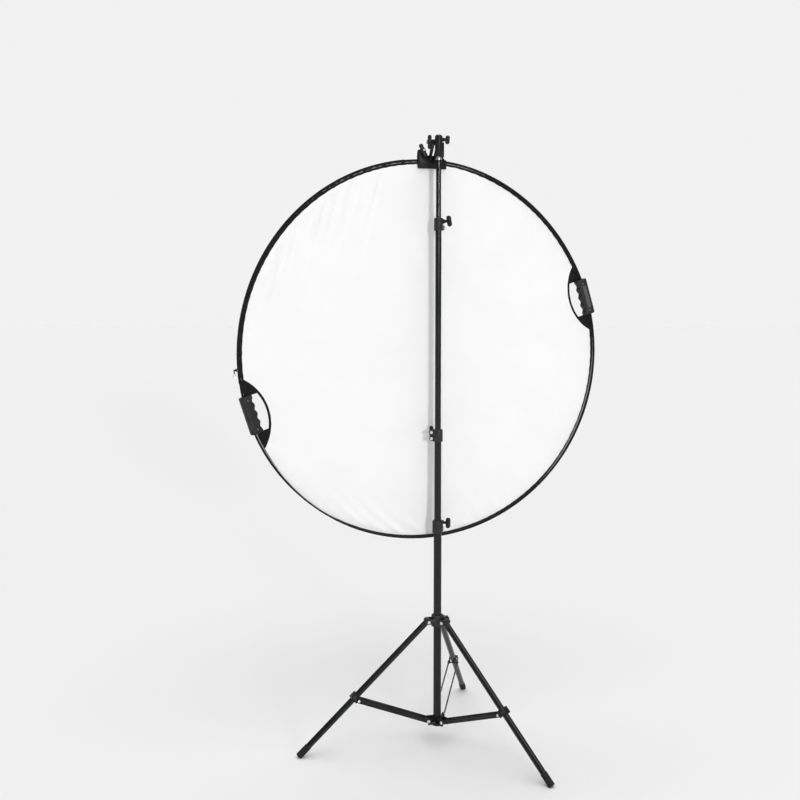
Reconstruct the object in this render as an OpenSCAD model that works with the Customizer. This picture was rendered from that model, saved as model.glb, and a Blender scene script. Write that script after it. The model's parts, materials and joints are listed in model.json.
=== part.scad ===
// Collapsible reflector disc in a tilting holder on a four-section light stand.
// Millimetres, +Z up. The origin is on the floor, under the axis of the column.
// The disc and the head turn round the column together by disc_yaw.

/* [Column] */
// Outside diameter of the base tube
tube_1_d = 25; // [25:0.5:26]
// Outside diameter of the second tube
tube_2_d = 22; // [21:0.5:22]
// Outside diameter of the third tube
tube_3_d = 19; // [18:0.5:19]
// Outside diameter of the top tube
tube_4_d = 16; // [15:0.5:16]
// Wall of every column tube
tube_wall = 1.2; // [0.8:0.1:1.2]
// Height of the top of the lowest clamp collar
collar_1_top = 717; // [700:1:740]
// Height of the top of the middle clamp collar
collar_2_top = 1005; // [980:1:1060]
// Height of the top of the upper clamp collar
collar_3_top = 1654; // [1600:1:1680]
// Height of one clamp collar
collar_h = 38; // [34:1:42]

/* [Legs] */
// Radius at which the three feet stand
foot_r = 448; // [400:1:480]
// Length of a leg from its pivot to its end
leg_len = 571; // [560:1:580]
// Outside diameter of a leg tube
leg_d = 19; // [18:0.5:19]
// Radius of the leg pivots
leg_pivot_r = 33; // [32:0.5:36]
// Height of the leg pivots
leg_pivot_z = 396; // [380:1:410]
// Direction of the first leg, seen from above
leg_azimuth = 197.9; // [190:0.1:200]
// Distance of the brace pivot along the leg
brace_at = 324; // [300:1:340]
// Width of a brace strip
brace_w = 13; // [10:0.5:14]

/* [Disc] */
// Radius of the sprung hoop
disc_r = 590; // [500:1:600]
// Height of the disc centre
disc_z = 1240; // [1230:1:1250]
// Turn of the head and the disc about the column
disc_yaw = 20.9; // [0:0.1:45]
// Angle of the right hand grip round the disc
grip_angle = 17.6; // [10:0.1:30]
// Length of a hand grip
grip_len = 118; // [110:1:125]

/* [Hidden] */
$fn = 96;
eps = 0.3;
fit = 0.05;

// Column
tube_1_bottom = 58;
tube_2_len = 650;
tube_3_len = 730;
tube_4_len = 660;
tube_4_top = 1828;
sleeved = collar_h * 0.48;
collar_wall = 4.2;
lug_out = 20.5;
lug_t = 5.4;
lug_gap = 1.2;
clamp_bolt_r = 2.8;
clamp_low = 9.5;
clamp_high = 9;
front_right_lug = 60;
left_lug = 180;

// Leg collar and legs
leg_collar_bottom = 378;
leg_collar_top = 415;
leg_collar_r = 19;
ear_start = 9.5;
ear_in = 10.4;
ear_out = 15.8;
pivot_pin_r = 3;
leg_head_len = 24;
foot_cap_r = 10.8;
foot_cap_len = 42;
brace_drop = 12.2;
brace_rivet_r = 2.4;
brace_in = 14.6;
brace_out = 16.1;
bracket_out = 14.1;
bracket_wall = 1.5;
bracket_len = 22;
hub_pivot_r = 34;
hub_pivot_z = 74;
hub_bottom = 54;
hub_top = 81;
hub_r = 17;
leg_angle = asin((foot_r - leg_pivot_r) / leg_len);
brace_x = leg_pivot_r + brace_at * sin(leg_angle) - brace_drop * cos(leg_angle);
brace_z = leg_pivot_z - brace_at * cos(leg_angle) - brace_drop * sin(leg_angle);
brace_len = norm([brace_x - hub_pivot_r, brace_z - hub_pivot_z]);
brace_angle = atan2(brace_z - hub_pivot_z, brace_x - hub_pivot_r);

// Head
stud_r = 7.9;
stud_waist_r = 6.6;
stud_plug = 22;
stud_top = 1891.5;
shoulder_r = 10;
socket_r = 11.5;
socket_bottom = 1836;
socket_top = 1902;
socket_bore_top = 1893;
socket_knob_z = 1889;
tilt_y = 24;
tilt_z = 1884;
tilt_ear_r = 8.5;
tilt_bolt_r = 3;
jaw_half = 43;
jaw_bottom = 1809;
jaw_top = 1844;
jaw_plate = 4.9;
jaw_pad = 2.3;
jaw_pad_h = 30;
jaw_hinge_z = 1845;
jaw_hinge_r = 4.6;
jaw_pin_r = 2.5;
knuckle_len = 10.5;
jaw_lobe_x = -34;
jaw_lobe_z = 1861;
jaw_lobe_r = 8;
jaw_screw_r = 3;

// Disc
disc_x = -15;
disc_y = 65;
binding_in = 7;
binding_out = 7;
binding_half = 3;
hoop_half_t = 0.8;
hoop_half_w = 2.2;
sheet_r = disc_r - binding_in - 0.3;
hole_at = 680;
hole_r = 146;
band_w = 6.4;
grip_out = 603.5;
grip_in = 564;
grip_screw_at = 584;
grip_screw_t = 45;
finger_pitch = 26;
grip_half_t = 14;
zip_from = 97;
zip_to = 188;
zip_angle = 184;
pull_r = 606;
pull_len = 22;
pull_pin_r = 0.9;
front_y = disc_y - binding_half - eps;
back_y = disc_y + binding_half + eps;

black = [0.06, 0.06, 0.065];
dark = [0.14, 0.14, 0.15];
steel = [0.74, 0.74, 0.76];
white = [0.97, 0.97, 0.97];

// ---- shared shapes ----

module ring_between(r_in, r_out, z0, z1) {
    translate([0, 0, z0]) difference() {
        cylinder(r = r_out, h = z1 - z0);
        translate([0, 0, -1]) cylinder(r = r_in, h = z1 - z0 + 2);
    }
}

module rod_x(r, x0, x1) translate([x0, 0, 0]) rotate([0, 90, 0]) cylinder(r = r, h = x1 - x0);

module rod_y(r, y0, y1) translate([0, y0, 0]) rotate([-90, 0, 0]) cylinder(r = r, h = y1 - y0);

// Tee-shaped clamp knob whose stem leaves along +x from x0; the tee lies along z.
module tee_knob(x0, stem, head_l, head_w, head_t) {
    translate([x0, 0, 0]) rotate([0, 90, 0]) cylinder(r1 = 5, r2 = 4.2, h = stem + head_t / 2);
    hull() {
        translate([x0 + stem, 0, head_l / 2 - head_w / 2]) rod_x(head_w / 2, 0, head_t, $fn = 32);
        translate([x0 + stem, 0, -head_l / 2 + head_w / 2]) rod_x(head_w / 2, 0, head_t, $fn = 32);
    }
}

// Two-winged knob on a hub that points along +x from x0; both wings lie along z.
module wing_knob(x0, hub_l, hub_r, reach, wing_r, bore_r) {
    difference() {
        union() {
            rod_x(hub_r, x0, x0 + hub_l);
            hull() {
                translate([0, 0, reach - wing_r]) rod_x(wing_r, x0 + 2, x0 + hub_l - 2, $fn = 32);
                rod_x(5.5, x0 + 2, x0 + hub_l - 2, $fn = 32);
            }
            hull() {
                translate([0, 0, wing_r - reach]) rod_x(wing_r, x0 + 2, x0 + hub_l - 2, $fn = 32);
                rod_x(5.5, x0 + 2, x0 + hub_l - 2, $fn = 32);
            }
        }
        rod_x(bore_r, x0 - 1, x0 + hub_l + 1);
    }
}

// ---- column ----

module tube(d, z0, z1) color(black) ring_between(d / 2 - tube_wall, d / 2, z0, z1);

// Split clamp collar: the lower half grips the wide tube, the upper half the tube that slides.
module collar(top, wide_d, slim_d, azimuth) {
    out_r = wide_d / 2 + collar_wall;
    z0 = top - collar_h;
    step = z0 + collar_h * 0.52;
    color(dark) rotate([0, 0, azimuth]) difference() {
        union() {
            translate([0, 0, z0]) cylinder(r = out_r, h = collar_h - 2);
            translate([0, 0, top - 2]) cylinder(r1 = out_r, r2 = out_r - 1.5, h = 2);
            for (z = [z0 + clamp_low, top - clamp_high]) {
                translate([lug_out, 0, z]) rod_y(7.5, -lug_gap - lug_t, lug_gap + lug_t);
                translate([0, -lug_gap - lug_t, z - 7.5]) cube([lug_out, 2 * (lug_gap + lug_t), 15]);
            }
        }
        translate([0, 0, z0 - 1]) cylinder(r = wide_d / 2, h = step - z0 + 1);
        translate([0, 0, z0 - 1]) cylinder(r = slim_d / 2 + eps, h = collar_h + 2);
        translate([0, -lug_gap, z0 - 1]) cube([2 * lug_out, 2 * lug_gap, collar_h + 2]);
        translate([lug_out, 0, z0 + clamp_low]) rod_y(clamp_bolt_r + fit, -20, 20);
        translate([lug_out, 0, top - clamp_high]) rod_y(clamp_bolt_r + fit, -20, 20);
    }
}

// Lower cross bolt with its nut, and the nut of the knob's bolt.
module collar_bolts(top, azimuth) {
    side = lug_gap + lug_t;
    color(steel) rotate([0, 0, azimuth]) {
        translate([lug_out, 0, top - collar_h + clamp_low]) {
            rod_y(clamp_bolt_r, -side - 3, side + 3);
            rod_y(5, -side - 2.6, -side);
            rod_y(5.2, side, side + 2.8, $fn = 6);
        }
        translate([lug_out, 0, top - clamp_high]) difference() {
            rod_y(5, side, side + 2.6);
            rod_y(clamp_bolt_r + fit, side - 1, side + 4);
        }
    }
}

module collar_knob(top, azimuth, tilt) {
    side = lug_gap + lug_t;
    color(black) rotate([0, 0, azimuth]) translate([lug_out, 0, top - clamp_high])
        rotate([0, 0, -90]) {
            rod_x(clamp_bolt_r, -side - 4, side + 6);
            rotate([tilt, 0, 0]) tee_knob(side + eps, 12, 34, 14, 14);
        }
}

module base_tube() tube(tube_1_d, tube_1_bottom, collar_1_top - sleeved);

module mast_2_tube() tube(tube_2_d, collar_2_top - sleeved - tube_2_len, collar_2_top - sleeved);

module mast_3_tube() tube(tube_3_d, collar_3_top - sleeved - tube_3_len, collar_3_top - sleeved);

module mast_4_tube() tube(tube_4_d, tube_4_top - tube_4_len, tube_4_top);

// Steel stud with a shoulder and a waist, plugged into the top tube.
module spigot() color(steel) rotate_extrude() polygon([
    [0, tube_4_top - stud_plug], [tube_4_d / 2 - tube_wall, tube_4_top - stud_plug],
    [tube_4_d / 2 - tube_wall, tube_4_top], [shoulder_r, tube_4_top], [shoulder_r, tube_4_top + 5],
    [stud_r, tube_4_top + 6.5], [stud_r, stud_top - 9.5], [stud_waist_r, stud_top - 7.5],
    [stud_waist_r, stud_top - 2.5], [stud_r - 1, stud_top], [0, stud_top]
]);

// ---- tripod ----

module hub() color(black) difference() {
    union() {
        translate([0, 0, hub_bottom]) cylinder(r = hub_r, h = hub_top - hub_bottom);
        for (i = [0:2]) rotate([0, 0, leg_azimuth + 120 * i]) for (s = [-1, 1]) {
            translate([hub_pivot_r, s * (brace_in - 2.9), hub_pivot_z]) rod_y(6.6, -2.5, 2.5);
            translate([10, s * (brace_in - 2.9) - 2.5, hub_bottom + 6])
                cube([hub_pivot_r - 10, 5, hub_top - hub_bottom - 6]);
        }
    }
    translate([0, 0, tube_1_bottom]) cylinder(r = tube_1_d / 2, h = 60);
    for (i = [0:2]) rotate([0, 0, leg_azimuth + 120 * i])
        translate([hub_pivot_r, 0, hub_pivot_z]) rod_y(pivot_pin_r, -20, 20);
}

// Three cross bolts that carry the braces, and the screw that holds the hub under the tube.
module hub_bolts() color(steel) {
    for (i = [0:2]) rotate([0, 0, leg_azimuth + 120 * i]) translate([hub_pivot_r, 0, hub_pivot_z]) {
        rod_y(pivot_pin_r, -brace_out - eps, brace_out + eps);
        rod_y(5.2, -brace_out - 2.6, -brace_out - eps);
        rod_y(5.2, brace_out + eps, brace_out + 2.6);
    }
    translate([0, 0, hub_bottom - 2.5]) cylinder(r = 5.5, h = 2.5);
}

module leg_collar() color(dark) difference() {
    union() {
        translate([0, 0, leg_collar_bottom])
            cylinder(r = leg_collar_r, h = leg_collar_top - leg_collar_bottom - 2);
        translate([0, 0, leg_collar_top - 2]) cylinder(r1 = leg_collar_r, r2 = leg_collar_r - 2, h = 2);
        for (i = [0:2]) rotate([0, 0, leg_azimuth + 120 * i]) for (s = [-1, 1]) {
            mid = s * (ear_in + ear_out) / 2;
            half = (ear_out - ear_in) / 2;
            translate([leg_pivot_r, mid, leg_pivot_z]) rod_y(8, -half, half);
            translate([ear_start, mid - half, leg_pivot_z - 8]) cube([leg_pivot_r - ear_start, 2 * half, 16]);
        }
        rotate([0, 0, leg_azimuth + 180]) translate([0, 0, leg_pivot_z + 5]) rod_x(6.5, 10, 23);
    }
    translate([0, 0, leg_collar_bottom - 1]) cylinder(r = tube_1_d / 2 + eps, h = 60);
    for (i = [0:2]) rotate([0, 0, leg_azimuth + 120 * i])
        translate([leg_pivot_r, 0, leg_pivot_z]) rod_y(pivot_pin_r, -20, 20);
    rotate([0, 0, leg_azimuth + 180]) translate([0, 0, leg_pivot_z + 5]) rod_x(clamp_bolt_r + fit, 10, 30);
}

module leg_pins() color(steel) for (i = [0:2]) rotate([0, 0, leg_azimuth + 120 * i])
    translate([leg_pivot_r, 0, leg_pivot_z]) {
        rod_y(pivot_pin_r, -ear_out - 1, ear_out + 1);
        rod_y(5, -ear_out - 2.4, -ear_out);
        rod_y(5.4, ear_out, ear_out + 2.6, $fn = 6);
    }

module leg_lock_knob() color(black) rotate([0, 0, leg_azimuth + 180]) translate([0, 0, leg_pivot_z + 5]) {
    rod_x(clamp_bolt_r, tube_1_d / 2 + eps, 26);
    rotate([90, 0, 0]) tee_knob(23 + eps, 5, 25, 11, 9);
}

// The leg frame has its origin on the pivot and -z along the leg, towards the foot.
module leg_frame(i) rotate([0, 0, leg_azimuth + 120 * i])
    translate([leg_pivot_r, 0, leg_pivot_z]) rotate([0, -leg_angle, 0]) children();

module leg_head(i) color(black) leg_frame(i) difference() {
    union() {
        rod_y(leg_d / 2, -ear_in + eps, ear_in - eps);
        translate([0, 0, -leg_head_len]) cylinder(r = leg_d / 2, h = leg_head_len);
    }
    rod_y(pivot_pin_r + fit, -20, 20);
}

module leg_tube(i) color(black) leg_frame(i)
    ring_between(leg_d / 2 - 1, leg_d / 2, -leg_len + 4, -leg_head_len);

// Folded sheet channel over the leg, with a cross pin for the brace below the tube.
module leg_bracket(i) color(black) leg_frame(i) translate([0, 0, -brace_at]) {
    web = leg_d / 2;
    translate([web, -bracket_out, -bracket_len / 2]) cube([bracket_wall, 2 * bracket_out, bracket_len]);
    for (s = [-1, 1]) translate([0, s * (bracket_out - bracket_wall / 2), 0]) difference() {
        union() {
            translate([-brace_drop, -bracket_wall / 2, -bracket_len / 2])
                cube([brace_drop + web, bracket_wall, bracket_len]);
            translate([-brace_drop, 0, 0]) rod_y(6.5, -bracket_wall / 2, bracket_wall / 2);
        }
        translate([-brace_drop, 0, 0]) rod_y(brace_rivet_r, -5, 5);
    }
    translate([-brace_drop, 0, 0]) rod_y(brace_rivet_r, -bracket_out, bracket_out);
}

// Rubber cap, cut off level with the floor.
module leg_foot(i) color(black) difference() {
    leg_frame(i) difference() {
        translate([0, 0, -leg_len]) cylinder(r = foot_cap_r, h = foot_cap_len);
        translate([0, 0, -leg_len + 4]) cylinder(r = leg_d / 2, h = foot_cap_len);
    }
    translate([-foot_r * 2, -foot_r * 2, -40]) cube([foot_r * 4, foot_r * 4, 40]);
}

// A pair of flat strips: each turns on the hub's bolt and ends in a rivet beside the leg bracket.
module brace(i) color(black) rotate([0, 0, leg_azimuth + 120 * i])
    translate([hub_pivot_r, 0, hub_pivot_z]) rotate([0, -brace_angle, 0]) for (s = [0, 1]) mirror([0, s, 0]) {
        difference() {
            union() {
                rod_y(brace_w / 2, brace_in, brace_out);
                translate([brace_len, 0, 0]) rod_y(brace_w / 2, brace_in, brace_out);
                translate([0, brace_in, -brace_w / 2]) cube([brace_len, brace_out - brace_in, brace_w]);
            }
            rod_y(pivot_pin_r + fit, brace_in - 1, brace_out + 1);
        }
        translate([brace_len, 0, 0]) rod_y(4.6, brace_out, brace_out + 2);
    }

// ---- head ----

module head_frame() rotate([0, 0, disc_yaw]) children();

// Closed sleeve over the stud, with a boss for its knob, a split rib and a lug for the tilt pivot.
module socket() color(dark) head_frame() difference() {
    union() {
        translate([0, 0, socket_bottom]) cylinder(r = socket_r, h = socket_top - socket_bottom - 4);
        translate([0, 0, socket_top - 4]) cylinder(r1 = socket_r, r2 = socket_r - 3.5, h = 4);
        translate([0, 0, socket_knob_z]) rod_x(6, 6, 17);
        translate([6, -4.5, socket_bottom]) cube([socket_r - 1.5, 9, 44]);
        translate([0, tilt_y, tilt_z]) rod_x(tilt_ear_r, -5, 5);
        translate([-5, 0, tilt_z - tilt_ear_r]) cube([10, tilt_y, 2 * tilt_ear_r]);
    }
    translate([0, 0, socket_bottom - 1]) cylinder(r = stud_r + fit, h = socket_bore_top - socket_bottom + 1);
    translate([0, 0, socket_knob_z]) rod_x(clamp_bolt_r + fit, 0, 30);
    translate([0, tilt_y, tilt_z]) rod_x(tilt_bolt_r + fit, -20, 20);
}

module socket_knob() color(black) head_frame() translate([0, 0, socket_knob_z]) {
    rod_x(clamp_bolt_r, stud_r + fit, 20);
    rotate([12, 0, 0]) tee_knob(17 + eps, 5, 26, 12, 13);
}

// Outline of both jaws: a bar with one sloping shoulder and a lobe for the screw.
module jaw_plate_shape(half) {
    translate([-half, jaw_bottom]) square([2 * half, jaw_top - jaw_bottom - 8]);
    polygon([[-half, jaw_top - 9], [half, jaw_top - 9], [half - 11, jaw_top + 4], [-half, jaw_top + 4]]);
    translate([jaw_lobe_x, jaw_lobe_z]) circle(r = jaw_lobe_r);
    polygon([
        [jaw_lobe_x - jaw_lobe_r, jaw_lobe_z], [jaw_lobe_x + jaw_lobe_r, jaw_lobe_z], [-14, jaw_top + 3],
        [-half, jaw_top + 3]
    ]);
}

module plate_xz(y0, y1) translate([0, y1, 0]) rotate([90, 0, 0]) linear_extrude(y1 - y0) children();

// Fork and front jaw in one casting.
module tilt_arm() color(dark) head_frame() difference() {
    union() {
        plate_xz(front_y - jaw_pad - jaw_plate, front_y - jaw_pad) jaw_plate_shape(jaw_half);
        for (s = [-1, 1]) translate([s * 7.9, tilt_y, tilt_z]) rod_x(tilt_ear_r, -2.5, 2.5);
        for (s = [-1, 1]) translate([s * 7.9 - 2.5, 0, 0]) rotate([90, 0, 90]) linear_extrude(5) polygon([
            [tilt_y - 4, tilt_z - 7.5], [tilt_y + 5, tilt_z + 6.9], [front_y - jaw_pad, jaw_top + 2],
            [front_y - jaw_pad, jaw_top - 16], [front_y - 8, jaw_top - 16]
        ]);
        for (x = [-30, 19.5]) translate([x, disc_y, jaw_hinge_z]) rod_x(jaw_hinge_r, 0, knuckle_len);
        for (x = [-30, 19.5]) translate([x, front_y - jaw_pad - 1, jaw_hinge_z - 3])
            cube([knuckle_len, disc_y - front_y + jaw_pad, 6]);
        for (s = [-1, 1]) translate([s * jaw_half, front_y - jaw_pad - jaw_plate / 2, jaw_bottom])
            cylinder(r = 4, h = jaw_top - jaw_bottom - 8);
    }
    translate([0, tilt_y, tilt_z]) rod_x(tilt_bolt_r + fit, -20, 20);
    translate([0, disc_y, jaw_hinge_z]) rod_x(jaw_pin_r, -40, 40);
    translate([jaw_lobe_x, 0, jaw_lobe_z]) rod_y(jaw_screw_r + fit, 0, 100);
}

module tilt_bolt() color(steel) head_frame() translate([0, tilt_y, tilt_z]) {
    rod_x(tilt_bolt_r, -30, 12);
    rod_x(6, 10.6, 14.5, $fn = 6);
}

module tilt_knob() color(black) head_frame() translate([0, tilt_y, tilt_z])
    mirror([1, 0, 0]) wing_knob(12.2, 16, 7, 21.5, 5, tilt_bolt_r + fit);

module jaw_back() color(dark) head_frame() difference() {
    union() {
        plate_xz(back_y + jaw_pad, back_y + jaw_pad + jaw_plate) intersection() {
            jaw_plate_shape(jaw_half);
            translate([-100, 0]) square([200, jaw_lobe_z + 6]);
        }
        translate([0, disc_y, jaw_hinge_z]) rod_x(jaw_hinge_r, -19.2, 19.2);
        translate([-19.2, disc_y, jaw_hinge_z - 3]) cube([38.4, back_y - disc_y + jaw_pad + 1, 6]);
    }
    translate([0, disc_y, jaw_hinge_z]) rod_x(jaw_pin_r + fit, -40, 40);
}

module jaw_pin() color(steel) head_frame() translate([0, disc_y, jaw_hinge_z]) {
    rod_x(jaw_pin_r, -32, 32);
    rod_x(4, -33.5, -30);
}

module jaw_pad_front() color(black) head_frame()
    translate([-jaw_half + 3, front_y - jaw_pad, jaw_bottom + 2]) cube([2 * jaw_half - 6, jaw_pad, jaw_pad_h]);

module jaw_pad_back() color(black) head_frame()
    translate([-jaw_half + 3, back_y, jaw_bottom + 2]) cube([2 * jaw_half - 6, jaw_pad, jaw_pad_h]);

// Push screw through the front jaw; its tip bears on the lobe of the back jaw.
module jaw_screw() color(steel) head_frame() translate([jaw_lobe_x, 0, jaw_lobe_z]) {
    rod_y(jaw_screw_r, 34, back_y + jaw_pad - eps);
    rod_y(4.2, back_y + jaw_pad - 4, back_y + jaw_pad - eps);
}

module jaw_knob() color(black) head_frame() translate([jaw_lobe_x, 49, jaw_lobe_z])
    rotate([0, -28, 0]) rotate([0, 0, -90]) wing_knob(0, 11, 7, 21, 6.5, jaw_screw_r + fit);

// ---- disc ----

// The disc frame has its origin at the disc centre, x to the right, y up and +z towards the column.
module disc_frame() head_frame() translate([disc_x, disc_y, disc_z]) rotate([90, 0, 0]) children();

// The grip frame points +x out along the radius through the middle of a grip.
module grip_frame(side) rotate([0, 0, side > 0 ? grip_angle : grip_angle + 180]) children();

module hoop() color(steel) disc_frame() rotate_extrude()
    translate([disc_r - hoop_half_t, -hoop_half_w]) square([2 * hoop_half_t, 2 * hoop_half_w]);

// Cloth disc cut away round both hand holes.
module cloth(z0, z1) disc_frame() translate([0, 0, z0]) linear_extrude(z1 - z0) difference() {
    circle(r = sheet_r, $fn = 180);
    for (side = [-1, 1]) grip_frame(side) translate([hole_at, 0]) circle(r = hole_r + band_w + 0.2);
}

module diffuser() color(white) cloth(-0.25, 0.25);

module front_sheet() color(white) cloth(0.7, 1.3);

module back_sheet() color(white) cloth(-1.3, -0.7);

// Sewn sleeve that holds the hoop; it stops at both grips.
module rim_binding() color(black) disc_frame() difference() {
    rotate_extrude() translate([disc_r, 0]) difference() {
        translate([-binding_in, -binding_half]) square([binding_in + binding_out, 2 * binding_half]);
        translate([-1.4, -2.5]) square([2.8, 5]);
    }
    for (side = [-1, 1]) grip_frame(side)
        translate([500, -grip_len / 2 - eps, -5]) cube([120, grip_len + 2 * eps, 10]);
}

module hand_bands() color(black) disc_frame() for (side = [-1, 1]) grip_frame(side)
    translate([0, 0, -2]) linear_extrude(4) intersection() {
        translate([hole_at, 0]) difference() {
            circle(r = hole_r + band_w);
            circle(r = hole_r);
        }
        rotate([0, 0, side > 0 ? -grip_angle : -grip_angle - 180]) circle(r = sheet_r, $fn = 180);
    }

// Cloth corners between the rim, the hand band and each end of a grip.
module gussets() color(black) disc_frame() for (side = [-1, 1]) grip_frame(side)
    translate([0, 0, -1.2]) linear_extrude(2.4) intersection() {
        circle(r = sheet_r, $fn = 180);
        translate([hole_at, 0]) circle(r = hole_r - 0.2);
        for (s = [0, 1]) mirror([0, s, 0]) translate([500, grip_len / 2 + eps]) square([100, 60]);
    }

module grip_profile(inset) difference() {
    translate([grip_in + inset, -grip_len / 2 + inset])
        square([grip_out - grip_in - 2 * inset, grip_len - 2 * inset]);
    for (k = [-1.5:1:1.5]) translate([grip_in - 9, k * finger_pitch]) circle(r = 14 + inset);
}

// One moulded half of a grip, channelled for the hoop; face is 1 for the front half, -1 for the back.
module grip_half(side, face) disc_frame() mirror([0, 0, face > 0 ? 0 : 1]) difference() {
    grip_frame(side) union() {
        translate([0, 0, 0.1]) linear_extrude(grip_half_t - 4.1) grip_profile(0);
        translate([0, 0, grip_half_t - 4]) linear_extrude(2.2) grip_profile(1.5);
        translate([0, 0, grip_half_t - 1.8]) linear_extrude(1.8) grip_profile(4);
    }
    rotate_extrude() translate([disc_r - 1.4, -2.7]) square([2.8, 5.4]);
}

module grip_right_front() color(dark) grip_half(1, 1);

module grip_right_back() color(black) grip_half(1, -1);

module grip_left_front() color(black) grip_half(-1, 1);

module grip_left_back() color(black) grip_half(-1, -1);

module grip_screws() color(steel) disc_frame() for (side = [-1, 1]) grip_frame(side)
    for (s = [-1, 1]) translate([grip_screw_at, s * grip_screw_t, grip_half_t]) cylinder(r = 2.6, h = 0.8);

// Zip let into the outside of the binding.
module zip_tape() color(black) disc_frame() rotate([0, 0, zip_from])
    rotate_extrude(angle = zip_to - zip_from)
        translate([disc_r + binding_out, -2.6]) square([1.2, 5.2]);

module zip_frame() disc_frame() rotate([0, 0, zip_angle]) children();

module zip_slider() color(steel) zip_frame() {
    back = disc_r + binding_out + 1.5;
    translate([back, -6, -4]) cube([4.5, 12, 8]);
    for (s = [-1, 1]) translate([back + 2.5, -2.2, s * 2.6 - 0.9]) cube([pull_r - back - 0.5, 4.4, 1.8]);
    translate([pull_r, 0, -3.5]) cylinder(r = pull_pin_r, h = 7);
}

// Pull tab that hangs straight down from the slider's cross pin.
module zip_pull() color(steel)
    zip_frame() translate([pull_r, 0, 0]) rotate([0, 0, 270 - zip_angle]) difference() {
    union() {
        translate([0, 0, -1.2]) cylinder(r = 2.4, h = 2.4);
        translate([0, -1.6, -1]) cube([pull_len - 5, 3.2, 2]);
        translate([pull_len - 5, 0, -1]) cylinder(r = 5, h = 2);
    }
    translate([0, 0, -3]) cylinder(r = pull_pin_r + fit, h = 6);
    translate([pull_len - 5, 0, -3]) cylinder(r = 3, h = 6);
}

base_tube();
hub();
hub_bolts();
collar(collar_1_top, tube_1_d, tube_2_d, front_right_lug);  // collar_1
collar_bolts(collar_1_top, front_right_lug);  // collar_1_bolts
collar_knob(collar_1_top, front_right_lug, 0);  // collar_1_knob
leg_collar();
leg_pins();
leg_lock_knob();
leg_tube(0);  // leg_tube_1
leg_tube(1);  // leg_tube_2
leg_tube(2);  // leg_tube_3
leg_head(0);  // leg_head_1
leg_head(1);  // leg_head_2
leg_head(2);  // leg_head_3
leg_bracket(0);  // leg_bracket_1
leg_bracket(1);  // leg_bracket_2
leg_bracket(2);  // leg_bracket_3
leg_foot(0);  // leg_foot_1
leg_foot(1);  // leg_foot_2
leg_foot(2);  // leg_foot_3
brace(0);  // brace_1
brace(1);  // brace_2
brace(2);  // brace_3
mast_2_tube();
collar(collar_2_top, tube_2_d, tube_3_d, left_lug);  // collar_2
collar_bolts(collar_2_top, left_lug);  // collar_2_bolts
collar_knob(collar_2_top, left_lug, 0);  // collar_2_knob
mast_3_tube();
collar(collar_3_top, tube_3_d, tube_4_d, front_right_lug);  // collar_3
collar_bolts(collar_3_top, front_right_lug);  // collar_3_bolts
collar_knob(collar_3_top, front_right_lug, 20);  // collar_3_knob
mast_4_tube();
spigot();
socket();
socket_knob();
tilt_arm();
tilt_bolt();
tilt_knob();
jaw_back();
jaw_pin();
jaw_pad_front();
jaw_pad_back();
jaw_screw();
jaw_knob();
hoop();
diffuser();
front_sheet();
back_sheet();
rim_binding();
hand_bands();
gussets();
grip_right_front();
grip_right_back();
grip_left_front();
grip_left_back();
grip_screws();
zip_tape();
zip_slider();
zip_pull();
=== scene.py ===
"""Looks of the reflector disc on its stand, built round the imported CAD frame. Metres, +Z up."""
import json
import math
import random

import bpy
import numpy as np
from mathutils import Matrix, Vector


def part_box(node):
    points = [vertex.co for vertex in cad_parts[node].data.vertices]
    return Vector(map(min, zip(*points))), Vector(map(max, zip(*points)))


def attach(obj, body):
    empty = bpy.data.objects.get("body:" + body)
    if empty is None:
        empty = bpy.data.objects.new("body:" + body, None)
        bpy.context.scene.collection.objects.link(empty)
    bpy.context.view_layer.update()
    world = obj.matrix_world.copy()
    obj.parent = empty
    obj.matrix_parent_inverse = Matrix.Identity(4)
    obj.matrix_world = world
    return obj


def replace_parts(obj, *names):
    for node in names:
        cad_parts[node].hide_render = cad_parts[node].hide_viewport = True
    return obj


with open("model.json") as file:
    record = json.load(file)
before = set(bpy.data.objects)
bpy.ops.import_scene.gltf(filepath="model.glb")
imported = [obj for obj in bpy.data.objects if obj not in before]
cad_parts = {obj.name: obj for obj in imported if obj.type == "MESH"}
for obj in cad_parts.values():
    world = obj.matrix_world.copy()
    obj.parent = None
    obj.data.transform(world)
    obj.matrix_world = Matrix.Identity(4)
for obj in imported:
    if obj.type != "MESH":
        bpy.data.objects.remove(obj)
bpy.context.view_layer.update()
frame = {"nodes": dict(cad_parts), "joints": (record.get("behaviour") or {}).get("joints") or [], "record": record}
joints = {j["name"]: j for j in frame["joints"]}
nodes = frame["nodes"]
body_of_node = {n: b for b, ns in frame["record"]["behaviour"]["bodies"].items() for n in ns}
slot_of_node = {s["node"]: s["material_slot"] for s in frame["record"]["subparts"]}
MM = 0.001

# ---------------------------------------------------------------- places taken from the frame

CENTRE = Vector(joints["zip_slide"]["pos_m"])
RIGHT = Vector(joints["head_tilt"]["axis"]).normalized()
UP = Vector((0, 0, 1))
FRONT = RIGHT.cross(UP)
hoop_low, hoop_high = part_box("hoop")
HOOP_R = (hoop_high.z - hoop_low.z) / 2 - 0.8 * MM


def disc(a, b, n=0.0):
    """Point a to the right, b up and n in front of the disc's centre."""
    return CENTRE + RIGHT * a + UP * b + FRONT * n


def disc_polar(r, theta, n=0.0):
    return disc(r * math.cos(theta), r * math.sin(theta), n)


def smooth(t):
    t = min(max(t, 0.0), 1.0)
    return t * t * (3 - 2 * t)


# ---------------------------------------------------------------- materials


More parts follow.
